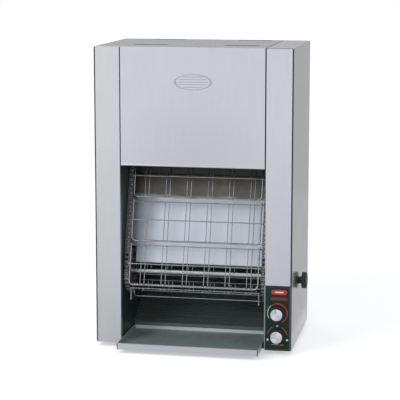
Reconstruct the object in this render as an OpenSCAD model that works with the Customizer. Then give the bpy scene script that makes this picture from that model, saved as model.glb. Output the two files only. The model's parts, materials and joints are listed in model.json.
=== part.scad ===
// Vertical conveyor toaster for a counter top.
// Bread rides up the front in wire baskets on two roller chains, is toasted on both sides
// behind the hood, comes over the top and down the back, and slides out into the pan.
// X runs left to right, Y from front to back, Z up. The working frame of the modules starts at
// the front lower left corner of the casing; placed() moves it to the part's own origin,
// centred under the overall box at the level that the feet stand on.

/* [Casing] */
// Width of the casing
body_w = 565; // [545:1:620]
// Depth of the casing
body_d = 372; // [372:1:420]
// Height of the casing without its feet
body_h = 850; // [845:1:950]
// Thickness of the stainless sheet
skin = 1.2; // [0.8:0.1:1.5]
// Outside radius of the folded sheet edges
bend_r = 3; // [2:0.5:5]
// Width of the left column
left_col_w = 75; // [75:1:90]
// Width of the right column, which holds the drive and the controls
right_col_w = 78; // [78:1:100]
// Height of the loading opening, from the casing's bottom to the hood
opening_h = 514.5; // [480:0.5:530]
// Gap between neighbouring casing sheets
seam = 2.5; // [1.5:0.5:3]
// Width of the left side sheet's edge that is folded over onto the top
top_fold = 8; // [6:1:12]
// Gap between that edge and the top cover
top_gap = 0.4; // [0.3:0.1:0.8]
// Radius of the rolled hem along the hood's lower edge
hem_r = 3.5; // [3:0.5:5]
// Depth of the folded returns of the front covers
return_d = 12; // [8:1:16]
// Gap from those returns to the sheets behind them
return_gap = 2; // [1:0.5:3]
// Gap between the left cover and the side sheet beside it
left_cover_gap = 1.5; // [1:0.1:2.5]
// Gap between the right cover and the side sheet beside it
right_cover_gap = 2.3; // [1:0.1:2.5]
// Height of the base plate's side lips
base_lip = 14; // [10:1:20]
// Height of the feet
foot_h = 12; // [8:1:25]
// Radius of a foot where it meets the casing
foot_r = 15; // [12:1:20]
// Distance from the casing's sides to the middle of a foot
foot_inset = 56; // [45:1:70]
// Length of one vent slot in the top cover
vent_l = 100; // [60:1:120]
// Width of one vent slot
vent_w = 6; // [3:0.5:6]
// Distance between neighbouring vent slots
vent_pitch = 10; // [8:1:11]
// Vent slots in each group of the top cover
vent_n = 3; // [1:1:3]
// Left vent groups from the top cover's left edge
vent_left = 16; // [10:1:30]
// Right vent groups from the top cover's right edge
vent_right = 32; // [10:1:40]

/* [Conveyor] */
// Lean of the conveyor towards the back, in degrees
lean = 16; // [13:0.5:17]
// Chain pitch
chain_p = 12.7; // [12.7:0.1:12.7]
// Teeth on each chain sprocket
sprocket_teeth = 30; // [30:1:30]
// Chain links along each straight run
run_links = 40; // [40:1:40]
// Links from one basket to the next
basket_links = 10; // [10:1:10]
// Number of baskets on the loop
basket_n = 11; // [11:1:11]
// Place of the first basket, in links above the lower front tangent point
first_link = 1.181; // [1.1:0.01:1.3]
// Depth of the lower shaft behind the casing's front
shaft_y = 88.7; // [86:0.5:100]
// Height of the lower shaft above the casing's bottom
shaft_z = 194.4; // [190:0.5:200]
// Radius of the two conveyor shafts
shaft_r = 8; // [7:0.5:9]
// Housing wall to the middle of the chain beside it
chain_side = 10; // [10:0.5:14]
// Radius of a chain roller
roller_r = 3.9; // [3.6:0.1:3.9]
// Radius of a chain pin
pin_r = 1.8; // [1.4:0.1:2]
// Width between the inner plates of the chain
chain_inner_w = 6.4; // [6:0.1:7]
// Thickness of a chain plate
plate_t = 1.2; // [1:0.1:1.2]
// Thickness of the sprocket teeth
tooth_t = 5.6; // [4.5:0.1:5.7]
// Width of the guide strip between the chain's inner plates
guide_w = 4.8; // [4:0.1:5.2]
// Gap between the chain rollers and their guide strip
guide_gap = 0.4; // [0.3:0.1:0.8]
// Running clearance of a roller in its tooth gap, on the radius
roller_gap = 0.12; // [0.1:0.01:0.2]

/* [Basket] */
// Middle of a chain to the side wire of the basket
basket_side = 12; // [12:0.5:16]
// Reach of a basket below its chain fastening
basket_down = 60; // [55:1:60]
// Reach of a basket above its chain fastening
basket_up = 56; // [50:1:56]
// Front frame of a basket outside the chain's pitch line
basket_front = 11.25; // [9:0.25:12]
// Back wires of a basket inside the chain's pitch line
basket_back = 19; // [15:0.5:19]
// Radius of the wire of the front frame
frame_r = 2; // [1.5:0.1:2.2]
// Radius of the upright and shelf wires
grid_r = 1.2; // [1:0.1:1.3]
// Radius of the cross wires behind the uprights
tie_r = 1.3; // [1:0.1:1.5]
// Radius of the wire that keeps the slices in
keeper_r = 1.5; // [1:0.1:1.6]
// Bend of the frame at its lower corners
corner_r = 12; // [8:1:16]
// Pairs of upright wires in a basket
pair_n = 6; // [4:1:6]
// Distance between the two wires of a pair
pair_gap = 12; // [8:1:16]

/* [Drive] */
// Gear module, the pitch diameter per tooth
gear_m = 2; // [2:0.1:2]
// Teeth of the gear on the lower conveyor shaft
gear_teeth = 62; // [62:1:62]
// Teeth of the pinion on the motor's shaft
pinion_teeth = 31; // [31:1:31]
// Direction from the lower shaft down to the motor's shaft, in degrees below level
gear_dip = 17.46; // [15:0.1:20]
// Width of the gear teeth
gear_w = 8; // [6:1:9]
// Radius of the motor's output shaft
drive_r = 6; // [5:0.5:7]
// Side of the gearbox
gearbox_side = 70; // [60:1:72]
// Thickness of the gearbox along its shaft
gearbox_t = 36; // [30:1:38]
// Foot of the motor bracket, along the shaft
bracket_foot = 24; // [18:1:26]
// Motor bracket above the gearbox
bracket_rise = 8; // [4:1:10]
// Motor bracket in front of the gearbox
bracket_front = 4; // [2:1:6]
// Radius of the motor
motor_r = 26; // [22:1:27]
// Length of the motor behind its gearbox
motor_l = 92; // [70:1:110]
// Running clearance of every shaft in its bearing, on the radius
bearing_gap = 0.05; // [0.03:0.01:0.1]
// Radius of the hand knob on the right side
hand_knob_r = 23.5; // [20:0.5:28]
// Thickness of the hand knob's grip
hand_knob_t = 14; // [10:1:18]
// Distance from the right side to the outer face of the hand knob
knob_standoff = 21; // [18:1:30]

/* [Heaters] */
// Radius of a heater rod
rod_r = 4; // [3:0.5:5]
// Heater rods in front of the rising bread
front_rods = 6; // [3:1:6]
// Heater rods on each side of the centre baffle
centre_rods = 5; // [3:1:5]
// Distance between neighbouring heater rods
rod_pitch = 39; // [30:1:39]
// Lowest front heater rod below the upper shaft
front_rod_low = 163; // [155:1:165]
// Highest centre heater rod below the upper shaft
centre_rod_high = 72; // [70:1:80]
// Front heater rods ahead of the shaft line
front_rod_out = 106; // [104:1:108]
// Front reflector ahead of the shaft line
front_reflector_out = 119; // [117:1:121]
// Rear reflector behind the shaft line
rear_reflector_out = 99; // [98:1:102]
// Centre heater rods away from the centre baffle
centre_rod_out = 15; // [12:1:18]

/* [Controls] */
// Height of the control panel
panel_h = 186; // [180:1:200]
// Thickness of the control panel
panel_t = 1.5; // [1:0.1:2]
// Height of the toast colour dial
colour_z = 108; // [100:1:115]
// Height of the power dial
power_z = 43.4; // [40:0.2:46]
// Radius of a dial's grip
dial_r = 17; // [14:0.5:20]
// Distance that a dial stands out of the panel
dial_out = 25; // [20:1:30]
// Radius of a dial's spindle
spindle_r = 3; // [2.5:0.5:4]

/* [Pan and chute] */
// Reach of the toast pan in front of the casing
pan_reach = 68; // [50:1:90]
// Depth of the toast pan from its front lip to its rear lip
pan_d = 228; // [200:1:228]
// Height of the pan's front lip and sides
pan_h = 14.5; // [12:0.5:16]
// Drop of the pan's front lip below its floor
pan_drop = 3; // [0:0.5:4]
// Height of the pan's rear lip
pan_rear_h = 11; // [8:0.5:12]
// Thickness of the pan's sheet
pan_t = 1.5; // [1:0.1:2]
// Gap under the pan
pan_gap = 0.6; // [0.4:0.1:1]
// Depth of the chute's lower edge behind the casing's front
chute_y = 163; // [163:1:175]
// Height of the chute's lower edge
chute_z = 21; // [19:1:26]
// Depth of the chute's upper edge behind the casing's front
chute_top_y = 360; // [350:1:362]
// Height of the chute's upper edge
chute_top_z = 150; // [140:1:160]
// Ribs across the chute
rib_n = 20; // [10:1:24]
// Reach of the cord gland behind the casing
gland_reach = 16; // [12:1:20]

/* [Hidden] */
$fn = 48;
eps = 0.03;                       // weld gap that keeps neighbouring wires separate solids
cut = 1;                          // how far a cutter runs past the face that it opens
well_left = left_col_w - 2;       // inner faces of the two housing walls
well_right = body_w - right_col_w + 2;
belt_x = (well_left + well_right) / 2;
sheet_left = left_col_w + seam / 2;
sheet_right = body_w - right_col_w - seam / 2;
top_left = top_fold + top_gap;
sprocket_r = chain_p / (2 * sin(180 / sprocket_teeth));
run_l = run_links * chain_p;
wrap_links = sprocket_teeth / 2;
loop_links = 2 * (run_links + wrap_links);
link_deg = 360 / sprocket_teeth;
first_pin = first_link - 0.5;     // baskets sit on the middle of an outer link
chain_gauge = well_right - well_left - 2 * chain_side;
half_gauge = chain_gauge / 2;
basket_w = chain_gauge - 2 * basket_side;
inner_plate = chain_inner_w / 2;
outer_plate = inner_plate + plate_t + 0.1;
plate_face = outer_plate + plate_t;
gear_r = gear_m * gear_teeth / 2;
pinion_r = gear_m * pinion_teeth / 2;
drive_y = shaft_y + (gear_r + pinion_r) * cos(gear_dip);
drive_z = shaft_z - (gear_r + pinion_r) * sin(gear_dip);
bearing_l = 8;                    // length of a bearing outside its wall
bearing_flange_r = shaft_r + 9;
gear_x = well_right + skin + bearing_l + 2;
bracket_x = gear_x + gear_w + 3;
bracket_t = 2;
gearbox_x = bracket_x + bracket_t;
knob_hub_r = 10.5;
dial_x = body_w - right_col_w / 2 - 1.4;
panel_left = well_right + skin + 0.3;
panel_right = body_w - 4;
pan_left = sheet_left + 0.3;
pan_right = sheet_right - 5.5;
base_t = 1.5;
wall_y = return_d + return_gap;   // front edge of the inner walls and the base plate
front_rod_z0 = run_l - front_rod_low;
centre_rod_z0 = run_l - centre_rod_high - (centre_rods - 1) * rod_pitch;
baffle_bottom = shaft_r + 17;
baffle_top = run_l - 38;
gland_x = body_w - 30;
gland_z = 60;

// ---- Frames and small helpers ----

module placed() {
  translate([-(body_w + knob_standoff) / 2, -(body_d + gland_reach - pan_reach) / 2, foot_h])
    children();
}

// Local frame of the conveyor: origin on the lower shaft, Z up the lean, front side at -Y.
module conveyor() {
  placed() translate([belt_x, shaft_y, shaft_z]) rotate([-lean, 0, 0]) children();
}

// Puts a child at a place on the chain loop, counted in links from the lower front tangent.
// The child's Z follows the travel and its -Y points outwards.
module on_loop(links) {
  w = links % loop_links;
  if (w < run_links)
    translate([0, -sprocket_r, w * chain_p]) children();
  else if (w < run_links + wrap_links)
    translate([0, 0, run_l]) rotate([-(w - run_links) * link_deg, 0, 0])
      translate([0, -sprocket_r, 0]) children();
  else if (w < 2 * run_links + wrap_links)
    translate([0, 0, run_l]) rotate([180, 0, 0])
      translate([0, -sprocket_r, (w - run_links - wrap_links) * chain_p]) children();
  else
    rotate([180 - (w - 2 * run_links - wrap_links) * link_deg, 0, 0])
      translate([0, -sprocket_r, 0]) children();
}

module block(from, to) {
  translate(from) cube(to - from);
}

module rod_x(x0, x1, r) {
  translate([x0, 0, 0]) rotate([0, 90, 0]) cylinder(r = r, h = x1 - x0);
}

module rod_y(y0, y1, r) {
  translate([0, y0, 0]) rotate([-90, 0, 0]) cylinder(r = r, h = y1 - y0);
}

module rod_z(z0, z1, r) {
  translate([0, 0, z0]) cylinder(r = r, h = z1 - z0);
}

// A quarter ring that joins two legs of folded sheet; its outer corner is at the origin.
module fold(r, t) {
  translate([r, -r]) intersection() {
    difference() {
      circle(r);
      circle(r - t);
    }
    translate([-r, 0]) square(r);
  }
}

// Folded sheet with a leg down and a leg to the right of the corner at the origin.
module folded(down, across, t) {
  fold(bend_r, t);
  translate([0, -down]) square([t, down - bend_r]);
  translate([bend_r, -t]) square([across - bend_r, t]);
}

// A side sheet whose upper edge is folded over onto the top.
module side_wrap(across) {
  translate([0, body_d, 0]) rotate([90, 0, 0]) linear_extrude(body_d)
    translate([0, body_h]) folded(body_h, across, skin);
}

// Return along the rear edge of a side sheet, drilled for the rear panel's screws.
module rear_return(side) {
  difference() {
    block([skin, body_d - 2 * skin, base_t + base_lip + 1], [16, body_d - skin, body_h - 20]);
    for (p = screw_places(side)) translate([p[0], body_d, p[1]]) rod_y(-5, 5, screw_r);
  }
}

// U-shaped cover of one column's front: a face with a return down each side.
module column_cover(x0, x1, z0, z1) {
  mid = (x0 + x1) / 2;
  translate([0, 0, z0]) linear_extrude(z1 - z0)
    for (flip = [0, 1])
      translate([flip == 0 ? x0 : x1, 0]) mirror([flip, 0]) mirror([0, 1])
        folded(return_d, mid - x0, skin);
}

screw_r = 2;
screw_n = 5;
screw_side = 9;                   // screws' distance from the casing's sides
screw_end = 60;                   // end screws' distance from its top and bottom

// Places of the screws that hold the rear panel, on one side of the casing.
function screw_places(side) = [
  for (k = [0:screw_n - 1])
    [side == 0 ? screw_side : body_w - screw_side, screw_end + k * (body_h - 2 * screw_end) / (screw_n - 1)]
];

// ---- Casing ----

module left_side_panel() {
  color("gainsboro") placed() {
    side_wrap(top_fold);
    rear_return(0);
  }
}

module right_side_panel() {
  color("gainsboro") placed() {
    difference() {
      translate([body_w, 0, 0]) mirror([1, 0, 0]) side_wrap(right_col_w - seam / 2);
      translate([body_w, drive_y, drive_z]) rod_x(-5, 5, drive_r + 3);
    }
    translate([body_w, 0, 0]) mirror([1, 0, 0]) rear_return(0);
  }
}

module left_front_cover() {
  color("lightsteelblue") placed()
    column_cover(skin + left_cover_gap, sheet_left - seam, 0, body_h - skin);
}

module right_front_cover() {
  color("lightsteelblue") placed()
    column_cover(sheet_right + seam, body_w - skin - right_cover_gap, panel_h + 1, body_h - skin);
}

module hood_panel() {
  color("lightsteelblue") placed() {
    block([sheet_left, 0, opening_h + hem_r], [sheet_right, skin, body_h]);
    difference() {
      translate([0, hem_r - 0.6, opening_h + hem_r]) rod_x(sheet_left, sheet_right, hem_r);
      translate([0, hem_r - 0.6, opening_h + hem_r])
        rod_x(sheet_left - cut, sheet_right + cut, hem_r - skin);
    }
    for (x = [sheet_left, sheet_right - skin])
      block([x, skin, opening_h + 2 * hem_r + 2], [x + skin, return_d, body_h - skin]);
  }
}

module top_cover() {
  vent_x = [sheet_left + vent_left, sheet_right - vent_right - vent_l];
  vent_y = [103, body_d - 22];
  color("silver") placed() difference() {
    union() {
      block([top_left, skin, body_h - skin], [sheet_right, body_d, body_h]);
      block([top_left, 0, body_h - skin], [sheet_left - seam, skin, body_h]);
    }
    for (x = vent_x, y = vent_y, k = [0:vent_n - 1])
      translate([x, y + (k - (vent_n - 1) / 2) * vent_pitch, body_h - skin - cut])
        linear_extrude(skin + 2 * cut) slot(vent_l, vent_w);
  }
}

// Slot with round ends, starting at the origin and running along X.
module slot(length, width) {
  translate([width / 2, -width / 2]) square([length - width, width]);
  for (x = [width / 2, length - width / 2]) translate([x, 0]) circle(width / 2);
}

module rear_panel() {
  louvre_l = 120;
  louvre_w = 5;
  louvre_n = 7;
  louvre_pitch = 14;
  louvre_side = 110;              // middle of a louvre group from the panel's middle
  louvre_top = 110;               // top louvre below the casing's top
  color("silver") placed() {
    difference() {
      union() {
        block([skin + 0.2, body_d - skin, base_t + 0.2], [body_w - skin - 0.2, body_d, body_h - bend_r]);
        block([top_left, body_d - skin, body_h / 2], [sheet_right, body_d, body_h - skin - 0.3]);
      }
      for (side = [0, 1], p = screw_places(side)) translate([p[0], body_d, p[1]]) rod_y(-5, 5, screw_r);
      translate([gland_x, body_d, gland_z]) rod_y(-5, 5, 10);
      for (side = [-1, 1], k = [0:louvre_n - 1])
        translate([body_w / 2 + side * louvre_side - louvre_l / 2, body_d + cut, 0])
          translate([0, 0, body_h - louvre_top - k * louvre_pitch])
            rotate([90, 0, 0]) linear_extrude(skin + 2 * cut) slot(louvre_l, louvre_w);
    }
  }
}

module base_plate() {
  color("gray") placed() {
    block([skin, wall_y, 0], [body_w - skin, body_d - skin, base_t]);
    for (x = [skin, body_w - 2 * skin])
      block([x, wall_y, base_t], [x + skin, body_d - skin, base_t + base_lip]);
  }
}

module feet() {
  color("dimgray") placed()
    for (x = [foot_inset, body_w - foot_inset], y = [foot_inset, body_d - foot_inset])
      translate([x, y, -foot_h]) {
        cylinder(r1 = foot_r - 2, r2 = foot_r, h = foot_h);
      }
}

module casing_screws() {
  head_h = 2.2;
  color("white") placed()
    for (side = [0, 1], p = screw_places(side)) translate([p[0], body_d, p[1]])
      rotate([-90, 0, 0]) difference() {
        union() {
          translate([0, 0, -8]) cylinder(r = screw_r - 0.1, h = 8);
          cylinder(r1 = 3.8, r2 = 3, h = head_h);
        }
        for (a = [0, 90]) rotate([0, 0, a]) translate([-2.2, -0.4, head_h - 1]) cube([4.4, 0.8, 2]);
      }
}

// Places of the heater rods in the conveyor's frame, as [Y, Z].
front_rod_places = [for (k = [0:front_rods - 1]) [-front_rod_out, front_rod_z0 + k * rod_pitch]];
centre_rod_places = [
  for (side = [-1, 1], k = [0:centre_rods - 1])
    [side * centre_rod_out, centre_rod_z0 + k * rod_pitch]
];
shaft_places = [[0, 0], [0, run_l]];
rod_hole_gap = 0.3;
spigot_r = shaft_r + 3;

// Housing wall between the chain and a column, with its shaft and heater rod holes.
module inner_wall(x) {
  difference() {
    placed() block([x, wall_y, base_t], [x + skin, body_d - skin, body_h - skin]);
    conveyor() for (p = concat(front_rod_places, centre_rod_places))
      translate([x - belt_x, p[0], p[1]]) rod_x(-5, 5, rod_r + rod_hole_gap);
    conveyor() for (p = shaft_places) translate([x - belt_x, p[0], p[1]]) rod_x(-5, 5, spigot_r);
  }
}

module left_inner_wall() {
  color("darkslategray") inner_wall(well_left - skin);
}

module right_inner_wall() {
  color("darkslategray") {
    difference() {
      inner_wall(well_right);
      placed() translate([well_right, drive_y, drive_z]) rod_x(-5, 5, drive_r + 2);
    }
    // Front edge beside the control panel, folded out over the seam.
    placed() block([well_right, skin, base_t], [well_right + skin, wall_y, panel_h]);
    placed() block([well_right - 2, 0, base_t], [well_right + skin, skin, panel_h]);
  }
}

// Chain guides of one side: a strip behind the rollers of each straight run, with a flange
// that is screwed to the housing wall. They stop short of the sprocket teeth.
module chain_guides(side) {
  strip_front = roller_r + guide_gap;
  flange_y = strip_front + 6;
  ends = sprocket_r * 0.75;
  for (run = [0, 1])
    translate([0, 0, run * run_l]) rotate([run * 180, 0, 0]) mirror([side == 0 ? 1 : 0, 0, 0])
      translate([half_gauge, -sprocket_r, 0]) {
        block([-guide_w / 2, strip_front, ends], [guide_w / 2, flange_y + skin, run_l - ends]);
        block([guide_w / 2, flange_y, ends], [chain_side, flange_y + skin, run_l - ends]);
      }
}

module left_chain_guides() {
  color("slategray") conveyor() chain_guides(0);
}

module right_chain_guides() {
  color("slategray") conveyor() chain_guides(1);
}

module control_panel() {
  color("darkslategray") placed() difference() {
    block([panel_left, 0, 0], [panel_right, panel_t, panel_h]);
    for (z = [colour_z, power_z]) translate([dial_x, 0, z]) rod_y(-5, 5, spindle_r + 2);
  }
}

// Cord gland in the rear panel: a domed nut and a flange outside, a locknut inside.
module cord_gland() {
  bore_r = 4.6;
  color("black") placed() translate([gland_x, body_d, gland_z]) rotate([-90, 0, 0]) difference() {
    union() {
      translate([0, 0, -14]) cylinder(r = 9.9, h = 15);
      cylinder(r = 13, h = 3);
      translate([0, 0, 3]) cylinder(r = 12.5, h = 7, $fn = 6);
      translate([0, 0, 10]) cylinder(r1 = 10.5, r2 = 7.5, h = gland_reach - 10);
      translate([0, 0, -skin - 5]) cylinder(r = 14, h = 5, $fn = 6);
    }
    translate([0, 0, -14 - cut]) cylinder(r = bore_r, h = gland_reach + 14 + 2 * cut);
  }
}

module terminal_block() {
  pole_n = 4;
  pole_w = 11;
  x0 = body_w - 12 - pole_n * pole_w;
  color("ivory") placed() difference() {
    block([x0, body_d - 62, base_t], [x0 + pole_n * pole_w, body_d - 40, base_t + 18]);
    for (k = [0:pole_n - 1]) translate([x0 + (k + 0.5) * pole_w, body_d - 51, base_t + 10]) {
      for (y = [-6, 6]) translate([0, y, 0]) cylinder(r = 3, h = 10);
    }
  }
}

// ---- Shafts, bearings and sprockets ----

bearing_out = bearing_l + skin;   // outer face of a bearing from the wall's inner face
collar_l = 6;

module conveyor_shaft(reach_right) {
  left_end = well_left - belt_x - bearing_out - collar_l - 1;
  right_end = well_right - belt_x + reach_right;
  rod_x(left_end, right_end, shaft_r);
  rod_x(left_end + 0.7, left_end + 0.7 + collar_l, shaft_r + 5);
}

module lower_shaft() {
  color("silver") conveyor() conveyor_shaft(bearing_out + 2 + gear_w + 1.5);
}

module upper_shaft() {
  color("silver") conveyor() translate([0, 0, run_l]) {
    conveyor_shaft(bearing_out + collar_l + 1);
    translate([well_right - belt_x + bearing_out + 0.3, 0, 0]) rod_x(0, collar_l, shaft_r + 5);
  }
}

module shaft_bearings() {
  color("peru") {
    conveyor() for (p = shaft_places) translate([0, p[0], p[1]]) for (flip = [0, 1]) mirror([flip, 0, 0])
      translate([well_right - belt_x, 0, 0]) difference() {
        union() {
          rod_x(0, bearing_out, spigot_r);
          rod_x(skin, bearing_out, bearing_flange_r);
        }
        rod_x(-cut, bearing_out + cut, shaft_r + bearing_gap);
      }
    placed() translate([well_right, drive_y, drive_z]) difference() {
      union() {
        rod_x(0, skin + 3, drive_r + 2);
        rod_x(skin, skin + bearing_l - 3, drive_r + 5);
      }
      rod_x(-cut, bearing_out + cut, drive_r + bearing_gap);
    }
  }
}

// Chain sprocket: seats on the pitch circle, flared gaps and a hub towards the wall.
module sprocket() {
  tip_r = chain_p * (0.55 + 1 / tan(180 / sprocket_teeth)) / 2;
  seat_r = roller_r + roller_gap;
  wall = (well_right - well_left) / 2;
  translate([half_gauge, 0, 0]) rotate([0, 90, 0]) difference() {
    union() {
      translate([0, 0, -tooth_t / 2]) linear_extrude(tooth_t) difference() {
        circle(tip_r);
        for (k = [0:sprocket_teeth - 1])
          rotate([0, 0, (k - first_pin) * link_deg - 90]) translate([sprocket_r, 0]) {
            circle(seat_r);
            polygon([[-1, -seat_r * 0.85], [6, -seat_r * 1.55], [6, seat_r * 1.55], [-1, seat_r * 0.85]]);
          }
        for (a = [0:60:300]) rotate([0, 0, a]) translate([sprocket_r * 0.58, 0]) circle(sprocket_r * 0.19);
      }
      cylinder(r = shaft_r + 8, h = wall - half_gauge - 1);
    }
    translate([0, 0, -tooth_t]) cylinder(r = shaft_r, h = 60);
  }
}

module sprocket_at(end, side) {
  color("dimgray") conveyor() translate([0, 0, end * run_l]) mirror([side == 0 ? 1 : 0, 0, 0]) sprocket();
}

module lower_left_sprocket() { sprocket_at(0, 0); }
module lower_right_sprocket() { sprocket_at(0, 1); }
module upper_left_sprocket() { sprocket_at(1, 0); }
module upper_right_sprocket() { sprocket_at(1, 1); }

// ---- Chains ----

// One flat plate between two pins, waisted like a figure eight.
module link_plate(x, wide) {
  rotate([90, 0, 90]) translate([0, 0, x]) linear_extrude(plate_t) {
    circle(wide);
    translate([-wide * 0.72, 0]) square([wide * 1.44, chain_p]);
    translate([0, chain_p]) circle(wide);
  }
}

module chain_pin() {
  rod_x(-inner_plate, inner_plate, roller_r);
  rod_x(-plate_face - 0.7, plate_face + 0.7, pin_r);
}

// A strand of chain from its first pin to its last, counted round the loop.
// The plate of each link turns with the pin that it starts at; wrapped links lie on the chord.
module strand(side, first, last) {
  turned = first >= run_links && last < run_links + wrap_links || first >= 2 * run_links + wrap_links;
  color("darkgray") conveyor() translate([(side == 0 ? -1 : 1) * half_gauge, 0, 0]) {
    for (j = [first:last]) on_loop(j + first_pin) chain_pin();
    for (j = [first:last - 1]) on_loop(j + first_pin) rotate([turned ? -link_deg / 2 : 0, 0, 0])
      for (flip = [0, 1]) mirror([flip, 0, 0])
        link_plate(j % 2 == 0 ? outer_plate : inner_plate, 5.4);
  }
}

front_last = run_links - 1;
upper_last = front_last + wrap_links;
rear_last = upper_last + run_links;
lower_last = rear_last + wrap_links;
module front_left_chain() { strand(0, 0, front_last); }
module front_right_chain() { strand(1, 0, front_last); }
module upper_left_chain() { strand(0, front_last + 1, upper_last); }
module upper_right_chain() { strand(1, front_last + 1, upper_last); }
module rear_left_chain() { strand(0, upper_last + 1, rear_last); }
module rear_right_chain() { strand(1, upper_last + 1, rear_last); }
module lower_left_chain() { strand(0, rear_last + 1, lower_last); }
module lower_right_chain() { strand(1, rear_last + 1, lower_last); }

// ---- Baskets ----

// Wire basket in its own frame: the chain's pitch line is the Z axis and -Y is outwards.
module wire_basket() {
  half = basket_w / 2;
  front = -basket_front;
  shelf = -basket_down;
  pair_pitch = (basket_w - pair_gap) / (pair_n - 0.2);
  wires = [for (k = [0:pair_n - 1], s = [-1, 1]) (k - (pair_n - 1) / 2) * pair_pitch + s * pair_gap / 2];
  tie_y = basket_back + grid_r + tie_r + eps;
  keeper_y = front - frame_r - keeper_r - eps;
  leg_x = half + frame_r + keeper_r + eps;
  tab_x = leg_x + keeper_r + eps;
  tab_half = chain_p / 2 - pin_r - 0.4;
  // Front frame with its bent lower corners
  translate([0, front, shelf]) rod_x(-half + corner_r + eps, half - corner_r - eps, frame_r);
  for (flip = [0, 1]) mirror([flip, 0, 0]) {
    translate([half, front, 0]) rod_z(shelf + corner_r + eps, basket_up + frame_r, frame_r);
    translate([half - corner_r, front, shelf + corner_r]) rotate([90, 90, 0]) rotate_extrude(angle = 90)
      translate([corner_r, 0]) circle(frame_r);
    // Bar from the frame's top back to the uprights
    translate([half, 0, basket_up]) rod_y(front + frame_r + eps, basket_back + grid_r, frame_r);
    // Leg of the keeper wire and the tab that meets the chain's outer plate
    translate([leg_x, 0, 0]) rod_y(keeper_y + keeper_r + eps, 4, keeper_r);
    block([tab_x, -5, -tab_half], [half_gauge - plate_face, 5, tab_half]);
  }
  translate([0, keeper_y, 0]) rod_x(-leg_x - keeper_r, leg_x + keeper_r, keeper_r);
  // Uprights, the shelf wires that the slices stand on, and the cross wires behind
  for (x = wires) {
    translate([x, basket_back, 0]) rod_z(shelf, basket_up + 1.5, grid_r);
    translate([x, 0, shelf + frame_r + grid_r + eps]) rod_y(front - 1.5, basket_back - grid_r - eps, grid_r);
  }
  for (z = [shelf + 4, basket_up]) translate([0, tie_y, z]) rod_x(-half - frame_r, half + frame_r, tie_r);
}

module basket(k) {
  color("lightgray") conveyor() on_loop(first_link + (k - 1) * basket_links) wire_basket();
}

// ---- Drive ----

// Point on a tooth flank: an involute of the base circle, turned to leave the backlash.
function involute(base, r) = tan(acos(base / r)) * 180 / PI - acos(base / r);
function flank(teeth, r, slack) =
  let (pitch = gear_m * teeth / 2, base = pitch * cos(20))
  let (half = (90 - slack) / teeth + involute(base, pitch) - involute(base, max(r, base)))
  half;
function tooth(teeth, slack) =
  let (pitch = gear_m * teeth / 2, tip = pitch + 0.9 * gear_m, root = pitch - 1.2 * gear_m)
  let (radii = [pitch - 0.6 * gear_m, pitch, pitch + 0.5 * gear_m, tip])
  concat(
    [[root, -(180 / teeth - flank(teeth, radii[0], slack) * 0.2) * 0.62]],
    [for (r = radii) [r, -flank(teeth, r, slack)]],
    [for (k = [3:-1:0]) [radii[k], flank(teeth, radii[k], slack)]],
    [[root, (180 / teeth - flank(teeth, radii[0], slack) * 0.2) * 0.62]]
  );
function outline(teeth, slack) = [
  for (k = [0:teeth - 1], p = tooth(teeth, slack))
    let (a = k * 360 / teeth + p[1]) [p[0] * cos(a), p[0] * sin(a)]
];

// Spur gear in the YZ plane with a tooth that points along the given angle.
module spur_gear(teeth, angle, bore) {
  backlash = 3;
  rotate([90, 0, 90]) difference() {
    rotate([0, 0, angle]) linear_extrude(gear_w) polygon(outline(teeth, backlash));
    translate([0, 0, -cut]) cylinder(r = bore, h = gear_w + 2 * cut);
  }
}

module drive_gear() {
  color("goldenrod") placed() translate([gear_x, shaft_y, shaft_z]) difference() {
    spur_gear(gear_teeth, -gear_dip, shaft_r);
    for (a = [0:60:300]) rotate([a, 0, 0]) translate([0, gear_r * 0.58, 0])
      rod_x(-cut, gear_w + cut, gear_r * 0.19);
  }
}

module pinion() {
  color("goldenrod") placed() translate([gear_x, drive_y, drive_z])
    spur_gear(pinion_teeth, 180 - gear_dip + 180 / pinion_teeth, drive_r);
}

module drive_shaft() {
  color("silver") placed() translate([0, drive_y, drive_z])
    rod_x(well_right + 0.3, body_w + knob_standoff - 3, drive_r);
}

module motor_bracket() {
  half = gearbox_side / 2;
  front = drive_y - half - bracket_front;
  color("silver") placed() difference() {
    union() {
      block([bracket_x, front, base_t], [gearbox_x, drive_y + half, drive_z + half + bracket_rise]);
      block([gearbox_x, front, base_t], [gearbox_x + bracket_foot, drive_y + half, base_t + bracket_t]);
    }
    translate([bracket_x, drive_y, drive_z]) rod_x(-5, 5, drive_r + 6);
  }
}

module gearmotor() {
  half = gearbox_side / 2;
  motor_x = gearbox_x + gearbox_t / 2 + 2;
  color("slategray") placed() {
    difference() {
      translate([gearbox_x, drive_y, drive_z]) union() {
        block([0, -half, -half], [gearbox_t, half, half]);
        rod_x(gearbox_t, gearbox_t + 5, drive_r + 8);
      }
      translate([gearbox_x, drive_y, drive_z]) rod_x(-cut, gearbox_t + 10, drive_r + bearing_gap);
    }
    translate([motor_x, drive_y + half, drive_z]) rotate([-90, 0, 0]) {
      cylinder(r = motor_r - 4, h = motor_l);
      for (k = [0:7]) translate([0, 0, 6 + k * 9]) cylinder(r = motor_r, h = 4);
      translate([0, 0, motor_l - 12]) cylinder(r1 = motor_r, r2 = motor_r - 6, h = 12);
    }
  }
}

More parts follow.
